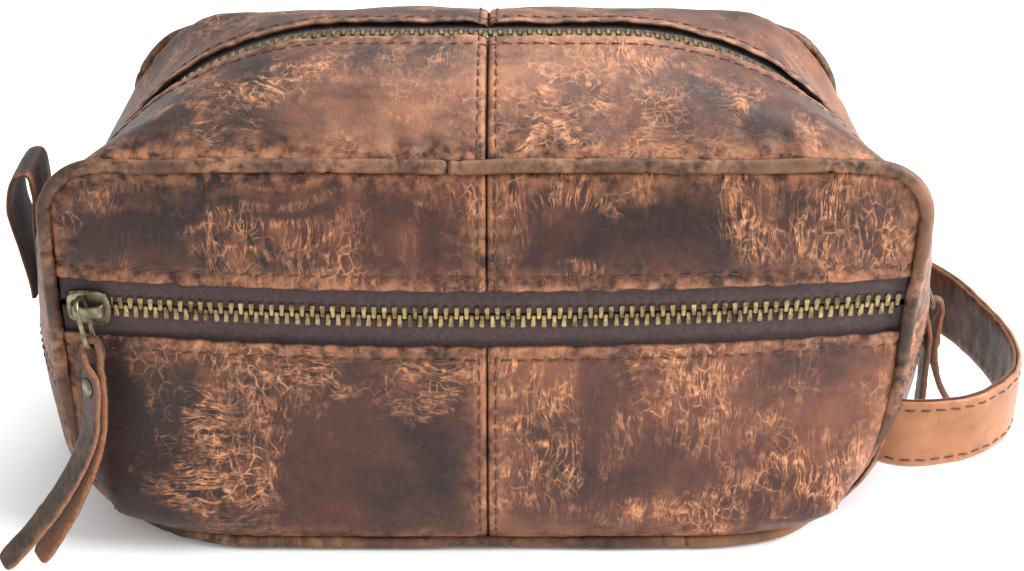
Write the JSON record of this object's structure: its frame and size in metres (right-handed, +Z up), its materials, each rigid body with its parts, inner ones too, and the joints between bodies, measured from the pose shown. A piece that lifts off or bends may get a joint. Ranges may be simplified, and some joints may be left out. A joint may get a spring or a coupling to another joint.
{
  "type": "toiletry bag",
  "caption": "Boxy stuffed leather toiletry bag with piped panels, a zipped crown, a zipped front pocket, leather pulls, a wrist handle and an end tab.",
  "frame": {"origin": "middle of the flat base, on the surface the bag stands on", "axes": "+X to the right end with the handle, -Y to the front pocket, +Z up"},
  "size_m": [0.3119, 0.1552, 0.1416],
  "materials": {
    "panel_leather": "pull-up, crackled, satin",
    "piping_leather": "worn, satin",
    "strap_leather": "tan, worn, suede edges",
    "zip_tape": "woven twill",
    "zip_teeth": "antique brass",
    "brass_fittings": "antique brass",
    "lining_cloth": "plain woven cotton",
    "core_cord": "twisted cord"
  },
  "bodies": {
    "bag": {"front_upper_panel_left": "panel_leather", "front_lower_panel_left": "panel_leather", "back_panel_left": "panel_leather", "front_upper_panel_right": "panel_leather", "front_lower_panel_right": "panel_leather", "back_panel_right": "panel_leather", "top_gusset_front_left": "panel_leather", "top_gusset_rear_left": "panel_leather", "base_gusset_left": "panel_leather", "top_gusset_front_right": "panel_leather", "top_gusset_rear_right": "panel_leather", "base_gusset_right": "panel_leather", "front_piping_cover": "piping_leather", "front_piping_core": "core_cord", "back_piping_cover": "piping_leather", "back_piping_core": "core_cord", "pocket_zip_tape_upper": "zip_tape", "pocket_zip_teeth_upper": "zip_teeth", "pocket_zip_tape_lower": "zip_tape", "pocket_zip_teeth_lower": "zip_teeth", "main_zip_tape_front": "zip_tape", "main_zip_teeth_front": "zip_teeth", "main_zip_tape_rear": "zip_tape", "main_zip_teeth_rear": "zip_teeth", "pocket_back_wall": "lining_cloth", "lining_back": "lining_cloth", "lining_top_front": "lining_cloth", "lining_top_rear": "lining_cloth", "lining_base": "lining_cloth"},
    "pocket_slider": {"pocket_slider": "brass_fittings"},
    "pocket_link": {"pocket_link": "brass_fittings"},
    "pocket_pull": {"pocket_pull": "strap_leather", "pocket_rivet": "brass_fittings"},
    "main_slider": {"main_slider": "brass_fittings"},
    "main_link": {"main_link": "brass_fittings"},
    "main_pull": {"main_pull": "strap_leather", "main_rivet": "brass_fittings"},
    "handle": {"handle_inner": "strap_leather", "handle_outer": "strap_leather"},
    "end_tab": {"end_tab": "strap_leather"}
  },
  "joints": [
    {"name": "pocket_zip_travel", "type": "hinge", "parent": "bag", "child": "pocket_slider", "pos_m": [0, 0.77035, 0.08], "axis": [0, 0, 1], "range_deg": [0, 15.22], "deforming": ["pocket_zip_teeth_upper", "pocket_zip_teeth_lower"]},
    {"name": "pocket_link_swing", "type": "hinge", "parent": "pocket_slider", "child": "pocket_link", "pos_m": [-0.11273, -0.06195, 0.08], "axis": [-0.9911, 0.1328, 0], "range_deg": [0, 6]},
    {"name": "pocket_pull_swing", "type": "hinge", "parent": "pocket_link", "child": "pocket_pull", "pos_m": [-0.11005, -0.0651, 0.07053], "axis": [-0.1318, -0.9838, 0.1219], "range_deg": [-25, 12]},
    {"name": "main_zip_travel", "type": "hinge", "parent": "bag", "child": "main_slider", "pos_m": [0.037, 0, 0.041], "axis": [0, -1, 0], "range_deg": [0, 75], "deforming": ["main_zip_teeth_front", "main_zip_teeth_rear"]},
    {"name": "main_link_swing", "type": "hinge", "parent": "main_slider", "child": "main_link", "pos_m": [0.13728, 0, 0.06195], "axis": [0, -1, 0], "range_deg": [-2, 15]},
    {"name": "main_pull_swing", "type": "hinge", "parent": "main_link", "child": "main_pull", "pos_m": [0.14278, 0, 0.04821], "axis": [0, -1, 0], "range_deg": [-3, 12]},
    {"name": "handle_swing", "type": "hinge", "parent": "bag", "child": "handle", "pos_m": [0.126, 0, 0.035], "axis": [0, -1, 0], "range_deg": [-20, 30], "stiffness_Nm_per_rad": 0.05, "deforming": ["handle_inner", "handle_outer"]},
    {"name": "end_tab_flex", "type": "hinge", "parent": "bag", "child": "end_tab", "pos_m": [-0.1408, 0, 0.0532], "axis": [0, 1, 0], "range_deg": [-60, 0], "stiffness_Nm_per_rad": 0.05}
  ]
}
